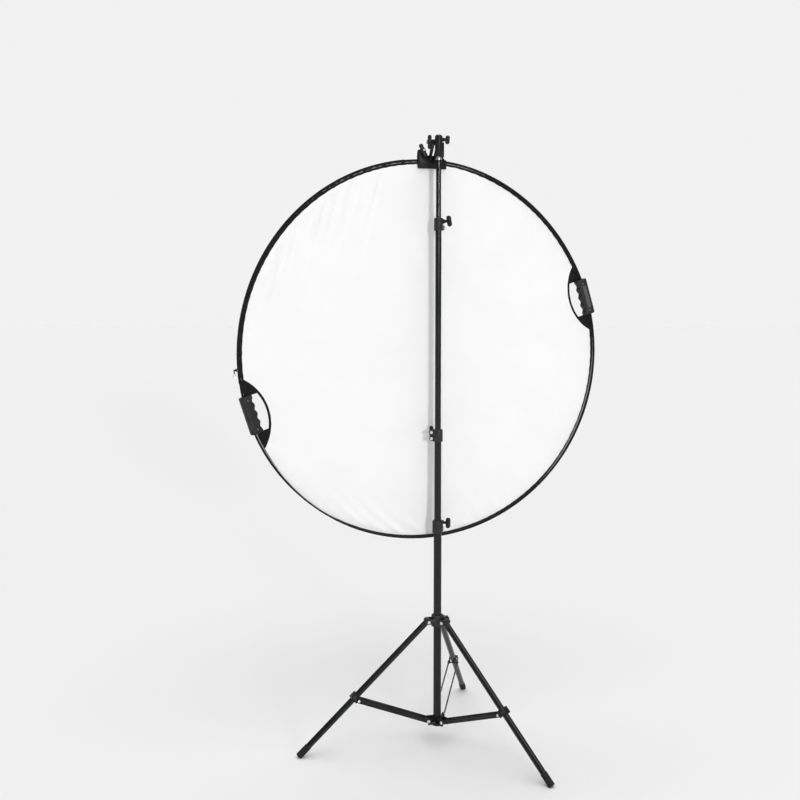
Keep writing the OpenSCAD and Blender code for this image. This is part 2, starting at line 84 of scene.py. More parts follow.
class Shader:
    """A Principled material with a few procedural layers on it."""

    def __init__(self, name, colour, rough, metal=0.0, **sockets):
        self.mat = bpy.data.materials.new(name)
        self.mat.use_nodes = True
        self.nt = self.mat.node_tree
        self.bsdf = self.nt.nodes["Principled BSDF"]
        self.bsdf.inputs["Base Color"].default_value = (*colour, 1)
        self.bsdf.inputs["Roughness"].default_value = rough
        self.bsdf.inputs["Metallic"].default_value = metal
        for key, value in sockets.items():
            self.bsdf.inputs[key.replace("_", " ")].default_value = value
        self.coords = self.nt.nodes.new("ShaderNodeTexCoord")
        self.normal = None

    def distance(self):
        """Distance from the object's origin."""
        n = self.nt.nodes.new("ShaderNodeVectorMath")
        n.operation = "LENGTH"
        self.nt.links.new(self.coords.outputs["Object"], n.inputs[0])
        return n.outputs["Value"]

    def mapped(self, scale=(1, 1, 1), turn=(0, 0, 0)):
        m = self.nt.nodes.new("ShaderNodeMapping")
        m.inputs["Scale"].default_value = scale
        m.inputs["Rotation"].default_value = turn
        self.nt.links.new(self.coords.outputs["Object"], m.inputs["Vector"])
        return m.outputs["Vector"]

    def noise(self, scale, detail=4, vector=None, rough=0.6):
        n = self.nt.nodes.new("ShaderNodeTexNoise")
        n.inputs["Scale"].default_value = scale
        n.inputs["Detail"].default_value = detail
        n.inputs["Roughness"].default_value = rough
        self.nt.links.new(vector or self.mapped(), n.inputs["Vector"])
        return n.outputs["Fac"]

    def wave(self, scale, direction, vector=None, distortion=0.0):
        w = self.nt.nodes.new("ShaderNodeTexWave")
        w.bands_direction = direction
        w.inputs["Scale"].default_value = scale
        w.inputs["Distortion"].default_value = distortion
        self.nt.links.new(vector or self.mapped(), w.inputs["Vector"])
        return w.outputs["Fac"]

    def maths(self, op, a, b):
        m = self.nt.nodes.new("ShaderNodeMath")
        m.operation = op
        for i, v in enumerate((a, b)):
            if isinstance(v, (int, float)):
                m.inputs[i].default_value = v
            else:
                self.nt.links.new(v, m.inputs[i])
        return m.outputs[0]

    def ramp(self, fac, low, high, value_a, value_b):
        r = self.nt.nodes.new("ShaderNodeMapRange")
        r.inputs["From Min"].default_value = low
        r.inputs["From Max"].default_value = high
        r.inputs["To Min"].default_value = value_a
        r.inputs["To Max"].default_value = value_b
        self.nt.links.new(fac, r.inputs["Value"])
        return r.outputs["Result"]

    def colour_mix(self, fac, a, b):
        m = self.nt.nodes.new("ShaderNodeMix")
        m.data_type = "RGBA"
        m.inputs["A"].default_value = (*a, 1)
        m.inputs["B"].default_value = (*b, 1)
        self.nt.links.new(fac, m.inputs["Factor"])
        self.nt.links.new(m.outputs["Result"], self.bsdf.inputs["Base Color"])
        return self

    def roughness(self, fac):
        self.nt.links.new(fac, self.bsdf.inputs["Roughness"])
        return self

    def bump(self, height, distance, strength=1.0):
        b = self.nt.nodes.new("ShaderNodeBump")
        b.inputs["Distance"].default_value = distance
        b.inputs["Strength"].default_value = strength
        self.nt.links.new(height, b.inputs["Height"])
        if self.normal:
            self.nt.links.new(self.normal, b.inputs["Normal"])
        self.normal = b.outputs["Normal"]
        self.nt.links.new(self.normal, self.bsdf.inputs["Normal"])
        return self


def lacquer():
    s = Shader("gloss_black_lacquer", (0.006, 0.006, 0.007), 0.26, Specular_IOR_Level=0.2, Coat_Weight=0.22,
               Coat_Roughness=0.1)
    s.roughness(s.ramp(s.noise(35, 6), 0.3, 0.75, 0.14, 0.3))
    s.colour_mix(s.ramp(s.noise(9, 3), 0.35, 0.7, 0, 1), (0.004, 0.004, 0.005), (0.010, 0.010, 0.011))
    s.bump(s.noise(420, 2), 0.00006, 0.5)
    scratches = s.noise(60, 8, s.mapped((1, 1, 0.03)), 0.8)
    return s.bump(s.ramp(scratches, 0.62, 0.75, 0, 1), 0.00004, 0.4).mat


def satin_black(name="satin_black_strip"):
    s = Shader(name, (0.008, 0.008, 0.009), 0.38, Specular_IOR_Level=0.25)
    s.roughness(s.ramp(s.noise(120, 5), 0.3, 0.7, 0.3, 0.5))
    s.colour_mix(s.ramp(s.noise(25, 4), 0.4, 0.7, 0, 1), (0.006, 0.006, 0.007), (0.014, 0.014, 0.015))
    return s.bump(s.noise(900, 3), 0.00008, 0.5).mat


def moulded(name, dark, light, rough=0.5, grain=1400, depth=0.00012):
    s = Shader(name, dark, rough, Specular_IOR_Level=0.28)
    s.colour_mix(s.ramp(s.noise(40, 5), 0.35, 0.7, 0, 1), dark, light)
    s.roughness(s.ramp(s.noise(180, 3), 0.3, 0.7, rough - 0.08, rough + 0.1))
    return s.bump(s.noise(grain, 2), depth, 0.6).mat


def bright_steel(name="bright_zinc", light=(0.74, 0.74, 0.76), dark=(0.52, 0.52, 0.55)):
    s = Shader(name, light, 0.26, metal=1.0)
    s.roughness(s.ramp(s.noise(260, 4), 0.3, 0.7, 0.18, 0.36))
    s.colour_mix(s.ramp(s.noise(90, 4), 0.4, 0.7, 0, 1), light, dark)
    return s.bump(s.noise(700, 2, s.mapped((1, 1, 4))), 0.00004, 0.4).mat


def blued_spring():
    s = Shader("blued_spring_steel", (0.3, 0.3, 0.33), 0.35, metal=1.0)
    return s.roughness(s.ramp(s.noise(200, 3), 0.3, 0.7, 0.28, 0.45)).mat


def rubber():
    s = Shader("black_rubber", (0.012, 0.012, 0.012), 0.8, Specular_IOR_Level=0.25)
    s.colour_mix(s.ramp(s.noise(60, 6), 0.4, 0.75, 0, 1), (0.010, 0.010, 0.010), (0.026, 0.025, 0.024))
    s.roughness(s.ramp(s.noise(90, 4), 0.3, 0.7, 0.7, 0.92))
    return s.bump(s.noise(1100, 4), 0.0002, 0.6).mat


def woven(name, low, high, rough, pitch, depth, metal=0.0, crinkle=0.0, **sockets):
    """Plain weave whose threads run along the disc's own right and up directions."""
    s = Shader(name, low, rough, metal, **sockets)
    along = s.mapped((1, 1, 1), (0, 0, -math.atan2(RIGHT.y, RIGHT.x)))
    warp = s.wave(1 / pitch, "X", along)
    weft = s.wave(1 / pitch, "Z", along)
    s.colour_mix(s.ramp(s.noise(7, 5), 0.3, 0.7, 0, 1), low, high)
    s.roughness(s.ramp(s.noise(60, 4), 0.3, 0.7, rough - 0.06, min(rough + 0.08, 1.0)))
    if crinkle:
        s.bump(s.noise(55, 6, along, 0.7), crinkle, 0.7)
    return s.bump(s.maths("MULTIPLY", warp, weft), depth, 0.5).mat


def webbing(name, low, high):
    """Narrow black tape: fine diagonal ribs and a little dust."""
    s = Shader(name, low, 0.85, Specular_IOR_Level=0.2, Sheen_Weight=0.04)
    s.colour_mix(s.ramp(s.noise(80, 6), 0.4, 0.75, 0, 1), low, high)
    ribs = s.wave(420, "DIAGONAL")
    s.roughness(s.ramp(s.noise(300, 3), 0.3, 0.7, 0.75, 0.95))
    s.bump(ribs, 0.0002, 0.6)
    return s.bump(s.noise(1500, 2), 0.00015, 0.5).mat


MATS = {
    "tube_black": lacquer(),
    "strip_black": satin_black(),
    "moulded_dark": moulded("dark_moulding", (0.014, 0.014, 0.015), (0.026, 0.026, 0.028), 0.42),
    "knob_black": moulded("black_knob", (0.007, 0.007, 0.008), (0.015, 0.015, 0.016), 0.42),
    "head_black": satin_black("satin_black_casting"),
    "bright_steel": bright_steel(),
    "spring_steel": blued_spring(),
    "rubber_black": rubber(),
    "cloth_white": woven("white_cloth", (0.90, 0.90, 0.905), (0.93, 0.93, 0.93), 0.8, 0.0011, 0.00012,
                         Sheen_Weight=0.15),
    "cloth_diffuser": woven("diffuser_cloth", (0.88, 0.88, 0.88), (0.92, 0.92, 0.92), 0.75, 0.0009, 0.0001),
    "cloth_silver": woven("silver_cloth", (0.62, 0.62, 0.64), (0.72, 0.72, 0.74), 0.34, 0.0012, 0.00012,
                          metal=0.9, crinkle=0.0006),
    "binding_black": webbing("black_tape", (0.006, 0.006, 0.007), (0.015, 0.015, 0.016)),
    "grip_dark": moulded("grip_moulding", (0.012, 0.012, 0.013), (0.022, 0.022, 0.024), 0.5, 900, 0.0002),
}
# Painted sheen: a lighter grey standing in for the key light catching the right grip's face; both grips are the same
# black plastic.
RIGHT_GRIP_PAINTED_SHEEN = moulded("grip_face_painted_sheen", (0.07, 0.07, 0.073), (0.10, 0.10, 0.105), 0.45, 1200, 0.00015)
DULL_STEEL = bright_steel("dull_screw_steel", (0.34, 0.34, 0.35), (0.22, 0.22, 0.23))
THREAD = moulded("black_thread", (0.012, 0.012, 0.013), (0.02, 0.02, 0.021), 0.7, 2500, 0.0001)

for name, node in nodes.items():
    node.data.materials.clear()
    node.data.materials.append(MATS[slot_of_node[name]])


# ---------------------------------------------------------------- mesh helpers


def piece(name, verts, faces, body, slot, mat=None, shade=True):
    """A mesh that rides on a CAD body and takes the finish of a record slot."""
    mesh = bpy.data.meshes.new(name)
    mesh.from_pydata([tuple(v) for v in verts], [], faces)
    mesh.validate()
    mesh.update()
    mesh.materials.append(mat or MATS[slot])
    if shade:
        mesh.polygons.foreach_set("use_smooth", [True] * len(mesh.polygons))
    obj = bpy.data.objects.new(name, mesh)
    bpy.context.scene.collection.objects.link(obj)
    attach(obj, body)
    return obj


def apply_modifier(obj, kind, **settings):
    m = obj.modifiers.new(kind.lower(), kind)
    for key, value in settings.items():
        setattr(m, key, value)
    bpy.context.view_layer.objects.active = obj
    with bpy.context.temp_override(object=obj, active_object=obj, selected_objects=[obj]):
        bpy.ops.object.modifier_apply(modifier=m.name)


def loft(rings, closed=True, capped=True):
    """Vertices and faces through a list of rings with the same number of points."""
    count = len(rings[0])
    verts = [p for ring in rings for p in ring]
    faces = []
    for i in range(len(rings) - 1):
        for k in range(count if closed else count - 1):
            a, b = i * count + k, i * count + (k + 1) % count
            faces.append((a, b, b + count, a + count))
    if capped and closed:
        faces.append(tuple(reversed(range(count))))
        faces.append(tuple((len(rings) - 1) * count + k for k in range(count)))
    return verts, faces


def merge(parts):
    """Several (verts, faces) pairs as one."""
    verts, faces = [], []
    for v, f in parts:
        base = len(verts)
        verts += list(v)
        faces += [tuple(base + i for i in face) for face in f]
    return verts, faces


def place(part, matrix):
    verts, faces = part
    return [matrix @ Vector(v) for v in verts], faces


def superellipse(half_x, half_y, power, count):
    """Outline of a rounded rectangle; a higher power has squarer corners."""
    ring = []
    for k in range(count):
        t = 2 * math.pi * k / count
        c, s = math.cos(t), math.sin(t)
        ring.append((half_x * math.copysign(abs(c) ** (2 / power), c),
                     half_y * math.copysign(abs(s) ** (2 / power), s)))
    return ring


def revolve(profile, count=48):
    """Solid turned about z through (radius, height) points."""
    rings = [[(r * math.cos(2 * math.pi * k / count), r * math.sin(2 * math.pi * k / count), z)
              for k in range(count)] for r, z in profile]
    return loft(rings)


def block(low, high):
    x, y, z = zip(low, high)
    verts = [(x[i], y[j], z[k]) for i in (0, 1) for j in (0, 1) for k in (0, 1)]
    faces = [(0, 1, 3, 2), (4, 6, 7, 5), (0, 4, 5, 1), (2, 3, 7, 6), (0, 2, 6, 4), (1, 5, 7, 3)]
    return verts, faces


def frame_matrix(origin, x_axis, z_axis):
    x = Vector(x_axis).normalized()
    z = Vector(z_axis)
    z = (z - x * z.dot(x)).normalized()
    y = z.cross(x)
    return Matrix((
        (x.x, y.x, z.x, origin[0]), (x.y, y.y, z.y, origin[1]), (x.z, y.z, z.z, origin[2]), (0, 0, 0, 1)))


def soften(name, width=0.0006, angle=32):
    """A copy of a CAD node with its sharp edges rounded over; it stands for the node."""
    source = nodes[name]
    mesh = source.data.copy()
    obj = bpy.data.objects.new(name + "_soft", mesh)
    bpy.context.scene.collection.objects.link(obj)
    apply_modifier(obj, "WELD", merge_threshold=0.00002)
    apply_modifier(obj, "DECIMATE", decimate_type="DISSOLVE", angle_limit=math.radians(2))
    apply_modifier(obj, "BEVEL", width=width, segments=2, limit_method="ANGLE",
                   angle_limit=math.radians(angle), harden_normals=True)
    mesh = obj.data
    mesh.polygons.foreach_set("use_smooth", [True] * len(mesh.polygons))
    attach(obj, body_of_node[name])
    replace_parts(obj, name)
    return obj


# ---------------------------------------------------------------- camera, light and floor

CAMERA_BACK = 3.0676
CAMERA_HEIGHT = 1.3875
CAMERA_PAN = 2.196
CAMERA_PITCH = -5.421
CAMERA_ROLL = 0.05
FOCAL_WIDTHS = 992.5 / 800

camera = bpy.data.objects.new("camera", bpy.data.cameras.new("camera"))
bpy.context.scene.collection.objects.link(camera)
camera.location = (0, -CAMERA_BACK, CAMERA_HEIGHT)
camera.rotation_euler = [math.radians(v) for v in (90 + CAMERA_PITCH, CAMERA_ROLL, CAMERA_PAN)]
camera.data.sensor_width = 36
camera.data.lens = 36 * FOCAL_WIDTHS
bpy.context.scene.camera = camera


def area_light(name, location, target, size, power, colour=(1, 1, 1)):
    light = bpy.data.lights.new(name, "AREA")
    light.shape = "DISK"
    light.size = size
    light.energy = power
    light.color = colour
    obj = bpy.data.objects.new(name, light)
    bpy.context.scene.collection.objects.link(obj)
    obj.location = location
    direction = Vector(target) - Vector(location)
    obj.rotation_euler = direction.to_track_quat("-Z", "Y").to_euler()


def sun(name, direction, spread, strength):
    """Soft light from one direction, given towards the light."""
    light = bpy.data.lights.new(name, "SUN")
    light.energy = strength
    light.angle = math.radians(spread)
    obj = bpy.data.objects.new(name, light)
    bpy.context.scene.collection.objects.link(obj)
    obj.rotation_euler = Vector(direction).to_track_quat("Z", "Y").to_euler()


sun("key", (1.5, -3.9, 0.51), 7, 1.0)
sun("sky", (0, -0.1, 1), 80, 2.25)
sun("back", (0.8, 3.6, 2.1), 60, 0.35)
area_light("top_fill", (1.1, -1.9, 2.7), (0.1, 0, 1.5), 1.0, 3)

BACKDROP = 0.885
FLOOR_FADE = 9.0
FLOOR_NEAR = (0.82, 0.82, 0.82)
FLOOR_FAR = (0.84, 0.84, 0.84)
AMBIENT = 0.25
world = bpy.data.worlds.new("pale_world")
bpy.context.scene.world = world
world.use_nodes = True
tree = world.node_tree
seen = tree.nodes["Background"]
seen.inputs["Color"].default_value = (BACKDROP, BACKDROP, BACKDROP, 1)
lit = tree.nodes.new("ShaderNodeBackground")
lit.inputs["Color"].default_value = (AMBIENT, AMBIENT, AMBIENT, 1)
path = tree.nodes.new("ShaderNodeLightPath")
mix = tree.nodes.new("ShaderNodeMixShader")
tree.links.new(path.outputs["Is Camera Ray"], mix.inputs[0])
tree.links.new(lit.outputs[0], mix.inputs[1])
tree.links.new(seen.outputs[0], mix.inputs[2])
tree.links.new(mix.outputs[0], tree.nodes["World Output"].inputs["Surface"])
bpy.context.scene.view_settings.view_transform = "Standard"

floor_mesh = bpy.data.meshes.new("floor")
floor_mesh.from_pydata([(-60, -60, 0), (60, -60, 0), (60, 60, 0), (-60, 60, 0)], [], [(0, 1, 2, 3)])
floor = bpy.data.objects.new("floor", floor_mesh)
bpy.context.scene.collection.objects.link(floor)
floor_look = Shader("pale_floor", (0.8, 0.8, 0.8), 1.0)
spread = floor_look.maths("DIVIDE", floor_look.distance(), FLOOR_FADE)
floor_look.colour_mix(floor_look.ramp(spread, 0.0, 1.0, 0, 1), FLOOR_NEAR, FLOOR_FAR)
floor_mesh.materials.append(floor_look.mat)


# ---------------------------------------------------------------- the rim's course

GRIP_TURN = math.radians(17.6)
GRIP_LEN = 0.118
GRIP_OUT = 0.6035
GRIP_IN = 0.564
GRIP_HALF = 0.014
HOLE_AT = 0.680
HOLE_R = 0.146
BAND_W = 0.0064
SLEEVE_IN = 0.0095
SLEEVE_OUT = 0.0066
SLEEVE_HALF = 0.0025
LIP_IN = 0.0085
# How far the sewn sleeve is twisted out of the disc's plane at some angles round the rim, in degrees.
TWIST = ((-130, 84), (-110, 66), (-90, 60), (-45, 56), (0, 46), (30, 42), (62, 34), (80, 4), (100, 0), (150, 2),
         (165, 14), (176, 4), (190, 4), (208, 48), (230, 84))


def between_knots(knots, x):
    for (x0, y0), (x1, y1) in zip(knots, knots[1:]):
        if x0 <= x <= x1:
            return y0 + (y1 - y0) * smooth((x - x0) / (x1 - x0))
    raise ValueError(x)


def degrees_round(theta):
    """The same angle, from -130 to 230 degrees."""
    return (math.degrees(theta) + 130) % 360 - 130


def twist(theta):
    return math.radians(between_knots(TWIST, degrees_round(theta)))


def rim_r(theta):
    """The hoop is pulled a little out of round; least along the zip."""
    d = degrees_round(theta)
    zip_side = smooth((d - 75) / 20) * smooth((205 - d) / 15)
    return HOOP_R - 3.4 * MM * math.cos(3 * (theta - math.radians(38))) * (1 - 0.7 * zip_side)


def hole_reach(theta, hole_r):
    """Distance from the disc centre to the edge of a hand hole, or infinity beside it."""
    for turn in (GRIP_TURN, GRIP_TURN + math.pi):
        phi = (theta - turn + math.pi) % (2 * math.pi) - math.pi
        across = HOLE_AT * math.sin(phi)
        if abs(phi) < 1 and abs(across) < hole_r:
            return HOLE_AT * math.cos(phi) - math.sqrt(hole_r ** 2 - across ** 2)
    return math.inf


def cloth_edge(theta):
    lip = rim_r(theta) - LIP_IN * math.cos(twist(theta))
    return min(lip, hole_reach(theta, HOLE_R + BAND_W * 0.8))


# ---------------------------------------------------------------- the stretched cloth

SHEET_GAP = 0.0009
# Each fan of folds leaves the rim between two angles and runs one way; the rest are counts and sizes in metres.
FOLD_FANS = (
    dict(start=103, stop=150, count=17, run=-105, length=(0.10, 0.32), width=0.0045, height=0.0034),
    dict(start=120, stop=136, count=5, run=-108, length=(0.26, 0.42), width=0.007, height=0.0034),
    dict(start=150, stop=163, count=4, run=-96, length=(0.06, 0.14), width=0.006, height=0.002),
    dict(start=164, stop=179, count=5, run=-72, length=(0.07, 0.15), width=0.006, height=0.0028),
    dict(start=40, stop=80, count=11, run=-92, length=(0.04, 0.13), width=0.006, height=0.0013),
    dict(start=249, stop=270, count=6, run=138, length=(0.12, 0.26), width=0.005, height=0.0032),
    dict(start=276, stop=297, count=4, run=124, length=(0.06, 0.12), width=0.007, height=0.0025),
    dict(start=208, stop=236, count=6, run=66, length=(0.03, 0.08), width=0.006, height=0.0015),
    dict(start=300, stop=345, count=6, run=150, length=(0.03, 0.07), width=0.006, height=0.001),
)


def fold_lines():
    """Start, end, width and height of every fold, in the disc's plane."""
    rng = random.Random(11)
    folds = []
    for fan in FOLD_FANS:
        for k in range(fan["count"]):
            share = (k + rng.uniform(0.2, 0.8)) / fan["count"]
            theta = math.radians(fan["start"] + (fan["stop"] - fan["start"]) * share)
            run = math.radians(fan["run"] + rng.uniform(-5, 5))
            length = rng.uniform(*fan["length"])
            r = HOOP_R - 0.006
            a, b = r * math.cos(theta), r * math.sin(theta)
            end = (a + length * math.cos(run), b + length * math.sin(run))
            width = fan["width"] * rng.uniform(0.8, 1.5)
            height = fan["height"] * rng.uniform(0.5, 1.1) * rng.choice((1, 1, -1))
            folds.append(((a, b), end, width, height))
    folds.append(((0.16, -0.155), (0.28, -0.15), 0.012, 0.0012))
    folds.append(((0.29, -0.18), (0.40, -0.21), 0.016, -0.0012))
    folds.append(((-0.17, 0.40), (-0.235, 0.18), 0.012, 0.0016))
    folds.append(((-0.42, 0.13), (-0.44, 0.03), 0.012, -0.0016))
    return folds


FOLDS = fold_lines()


def np_smooth(t):
    t = np.clip(t, 0, 1)
    return t * t * (3 - 2 * t)


def cloth_height(a, b):
    """How far the cloth stands in front of the disc's plane, for arrays of places in it."""
    r = np.hypot(a, b)
    theta = np.arctan2(b, a)
    lip = np.interp(theta, LIP_ANGLES, LIP_DEPTHS)
    to_rim = np_smooth((r / HOOP_R - 0.55) / 0.44)
    n = -lip * to_rim ** 2
    n += 0.004 * (1 - (r / HOOP_R) ** 2) * (0.6 + 0.4 * b / HOOP_R)
    n += 0.0010 * np.sin(9 * a + 5 * b + 0.6) * np.sin(7 * b - 3 * a + 1.1) * (1 - to_rim ** 4)
    n += 0.0005 * np.sin(31 * a + 12 * np.sin(6 * b)) * np.sin(17 * b + 8 * a) * (1 - to_rim ** 4)
    edge = np.interp(theta, LIP_ANGLES, EDGE_RADII)
    held = np_smooth((edge - r) / 0.016)
    for (a0, b0), (a1, b1), width, height in FOLDS:
        da, db = a1 - a0, b1 - b0
        length = math.hypot(da, db)
        along = ((a - a0) * da + (b - b0) * db) / length ** 2
        across = ((a - a0) * db - (b - b0) * da) / length
        across = across + 0.3 * width * np.sin(along * 7 + a0 * 40)
        shape = np_smooth((along + 0.04) / 0.16) * np_smooth((1 - along) / 0.75)
        wide = width * (1 + 0.8 * np.clip(along, 0, 1))
        n += height * np.exp(-(across / wide) ** 2) * shape * held
        n -= 0.35 * height * np.exp(-((across - 2 * wide) / wide) ** 2) * shape * held
    pucker = np.exp(-np.maximum(edge - r, 0) / 0.011)
    n += 0.00045 * np.sin(theta * 118 + 2 * np.sin(theta * 7)) * pucker
    return n


LIP_ANGLES = np.radians(np.arange(-180, 180.5, 0.5))
LIP_DEPTHS = np.array([LIP_IN * math.sin(twist(t)) for t in LIP_ANGLES])
EDGE_RADII = np.array([cloth_edge(t) for t in LIP_ANGLES])


def cloth_sheet(name, rings, spokes, offset, slot, node):
    """Stretched sheet from the centre to the sleeve, cut away round the hand holes."""
    thetas = np.linspace(-math.pi, math.pi, spokes, endpoint=False)
    edges = np.array([cloth_edge(t) for t in thetas])
    share = 1 - (1 - np.linspace(0, 1, rings + 1)[1:]) ** 1.35
    r = share[:, None] * edges[None, :]
    a, b = r * np.cos(thetas)[None, :], r * np.sin(thetas)[None, :]
    n = cloth_height(a, b) + offset
    centre_n = float(cloth_height(np.array([0.0]), np.array([0.0]))[0]) + offset
    verts = [disc(0, 0, centre_n)]
    verts += [disc(float(a[i, k]), float(b[i, k]), float(n[i, k])) for i in range(rings) for k in range(spokes)]
    faces = [(0, 1 + k, 1 + (k + 1) % spokes) for k in range(spokes)]
    for i in range(rings - 1):
        for k in range(spokes):
            p, q = 1 + i * spokes + k, 1 + i * spokes + (k + 1) % spokes
            faces.append((p, p + spokes, q + spokes, q))
    obj = piece(name, verts, faces, "reflector", slot)
    apply_modifier(obj, "SOLIDIFY", thickness=0.0004, offset=0)
    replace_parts(obj, node)
    return obj


cloth_sheet("front_cloth", 120, 900, SHEET_GAP, "cloth_white", "front_sheet")
cloth_sheet("diffuser_cloth", 60, 540, 0.0, "cloth_diffuser", "diffuser")
cloth_sheet("back_cloth", 100, 720, -SHEET_GAP, "cloth_silver", "back_sheet")


# ---------------------------------------------------------------- sewn sleeve, bands and gussets

GRIP_SPAN = math.asin(GRIP_LEN / 2 / HOOP_R)
STITCH_PITCH = 0.0042


def sleeve_point(theta, x, y):
    """Point of the sleeve: x out from the hoop across its width, y through its thickness."""
    tau = twist(theta)
    r = rim_r(theta) + x * math.cos(tau) - y * math.sin(tau)
    return disc_polar(r, theta, x * math.sin(tau) + y * math.cos(tau))


def sleeve_section(count=26):
    """Flat sleeve, thicker where the hoop runs and pinched in along its seam."""
    mid, half = (SLEEVE_OUT - SLEEVE_IN) / 2, (SLEEVE_OUT + SLEEVE_IN) / 2
    section = []
    for x, y in superellipse(half, SLEEVE_HALF, 2.6, count):
        x += mid
        y *= 1 - 0.42 * math.exp(-((x + 4.2 * MM) / (1.5 * MM)) ** 2) - 0.2 * smooth(-x / SLEEVE_IN)
        section.append((x, y))
    return section


def sleeve_arc(start, stop):
    steps = int(HOOP_R * (stop - start) / 0.004)
    rings = []
    for i in range(steps + 1):
        theta = start + (stop - start) * i / steps
        swell = 1 + 0.05 * math.sin(theta * 171) + 0.04 * math.sin(theta * 63 + 1)
        rings.append([sleeve_point(theta, x, y * swell) for x, y in sleeve_section()])
    return loft(rings)


def stitches(start, stop):
    parts = []
    count = int(HOOP_R * (stop - start) / STITCH_PITCH)
    for i in range(count):
        theta = start + (stop - start) * (i + 0.5) / count
        for side in (-1, 1):
            y = side * SLEEVE_HALF * 0.62
            centre = sleeve_point(theta, -4.2 * MM, y)
            ahead = sleeve_point(theta + 0.002, -4.2 * MM, y)
            out = sleeve_point(theta, -4.2 * MM, y * 1.6)
            m = frame_matrix(centre, ahead - centre, out - centre)
            parts.append(place(block((-1.3 * MM, -0.3 * MM, -0.25 * MM), (1.3 * MM, 0.3 * MM, 0.28 * MM)), m))
    return merge(parts)


arcs = [(GRIP_TURN + GRIP_SPAN, GRIP_TURN + math.pi - GRIP_SPAN),
        (GRIP_TURN + math.pi + GRIP_SPAN, GRIP_TURN + 2 * math.pi - GRIP_SPAN)]
sleeve = piece("rim_sleeve", *merge([sleeve_arc(*arc) for arc in arcs]), "reflector", "binding_black")
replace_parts(sleeve, "rim_binding")
piece("rim_stitching", *merge([stitches(*arc) for arc in arcs]), "reflector", "binding_black", THREAD, shade=False)


def grip_point(side, rho, t, n=0.0):
    """Point in a grip's own frame: rho out from the disc centre, t along the grip, n to the front."""
    turn = GRIP_TURN if side > 0 else GRIP_TURN + math.pi
    a = rho * math.cos(turn) - t * math.sin(turn)
    b = rho * math.sin(turn) + t * math.cos(turn)
    return a, b, n


def on_cloth(a, b, n=0.0):
    return disc(a, b, float(cloth_height(np.array([a]), np.array([b]))[0]) + n)


def band(side):
    """Bound edge of a hand hole, lying along the edge of the cloth."""
    mid_r = HOLE_R + BAND_W / 2
    reach = math.radians(46.5)
    rings = []
    steps = 90
    for i in range(steps + 1):
        psi = math.pi - reach + 2 * reach * i / steps
        ring = []
        for x, y in superellipse(BAND_W * 0.6, 2.1 * MM, 3.2, 20):
            y *= 1 + 0.08 * math.sin(i * 1.9)
            a, b, _ = grip_point(side, HOLE_AT + (mid_r + x) * math.cos(psi), (mid_r + x) * math.sin(psi))
            base = grip_point(side, HOLE_AT + (mid_r + BAND_W / 2) * math.cos(psi),
                              (mid_r + BAND_W / 2) * math.sin(psi))
            height = float(cloth_height(np.array([base[0]]), np.array([base[1]]))[0])
            ring.append(disc(a, b, height + y))
        rings.append(ring)
    return loft(rings)


bands = piece("hand_hole_bands", *merge([band(1), band(-1)]), "reflector", "binding_black")
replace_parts(bands, "hand_bands")


def seam_r(side, t):
    """Radius of the sleeve's inner lip beside a hand hole, t along from the middle of the grip."""
    theta = (GRIP_TURN if side > 0 else GRIP_TURN + math.pi) + math.asin(t / HOOP_R)
    return rim_r(theta) - (LIP_IN - 1.2 * MM) * math.cos(twist(theta))


def gusset(side, end):
    """Cloth corner from the end of a grip to where the hand hole meets the rim."""
    rows, columns = 16, 10
    t_tip = HOLE_R * math.sin(math.radians(44.0))
    rings = []
    for i in range(rows + 1):
        t = GRIP_LEN / 2 - 2 * MM + (t_tip - GRIP_LEN / 2 + 2 * MM) * i / rows
        inner = HOLE_AT - math.sqrt(HOLE_R ** 2 - t * t) - 1 * MM
        outer = max(math.sqrt(seam_r(side, end * t) ** 2 - t * t), inner + 1 * MM)
        ring = []
        for k in range(columns + 1):
            rho = inner + (outer - inner) * k / columns
            a, b, _ = grip_point(side, rho, end * t)
            sag = 0.0012 * math.sin(math.pi * k / columns) * math.sin(3 * math.pi * i / rows)
            ring.append(on_cloth(a, b, sag))
        rings.append(ring)
    return loft(rings, closed=False)


gussets = piece("grip_gussets", *merge([gusset(s, e) for s in (1, -1) for e in (1, -1)]),
                "reflector", "binding_black")
apply_modifier(gussets, "SOLIDIFY", thickness=0.0022, offset=0)
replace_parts(gussets, "gussets")


# ---------------------------------------------------------------- hand grips

GRIP_ROLL = {1: 0.0, -1: math.radians(14)}
GRIP_MID = (GRIP_OUT + GRIP_IN) / 2


def on_grip(side, rho, t, n):
    """Point on a grip, rolled about its own length as the rim's twist carries it."""
    c, s = math.cos(GRIP_ROLL[side]), math.sin(GRIP_ROLL[side])
    x = rho - GRIP_MID
    return disc(*grip_point(side, GRIP_MID + x * c - n * s, t, x * s + n * c))


def grip_half(side, face):
    """One moulded half: straight outer side, four finger hollows inside, rounded ends."""
    stations, around = 96, 26
    rings = []
    for i in range(stations + 1):
        u = -1 + 2 * i / stations
        t = GRIP_LEN / 2 * u
        to_end = GRIP_LEN / 2 - abs(t)
        round_in = 4 * MM - math.sqrt(max((4 * MM) ** 2 - max(4 * MM - to_end, 0) ** 2, 0))
        hollow = 4.6 * MM * (0.5 - 0.5 * math.cos(2 * math.pi * t / 0.026)) * smooth(to_end / 0.012)
        low, high = GRIP_IN + hollow + round_in, GRIP_OUT - round_in
        mid, half = (low + high) / 2, (high - low) / 2
        thick = GRIP_HALF - 0.15 * MM - round_in
        ring = []
        for k in range(around + 1):
            phi = math.pi * k / around
            c, s = math.cos(phi), math.sin(phi)
            rho = mid + half * math.copysign(abs(c) ** 0.62, c)
            n = 0.15 * MM + thick * abs(s) ** 0.62
            ring.append(on_grip(side, rho, t, face * n))
        rings.append(ring)
    return loft(rings)


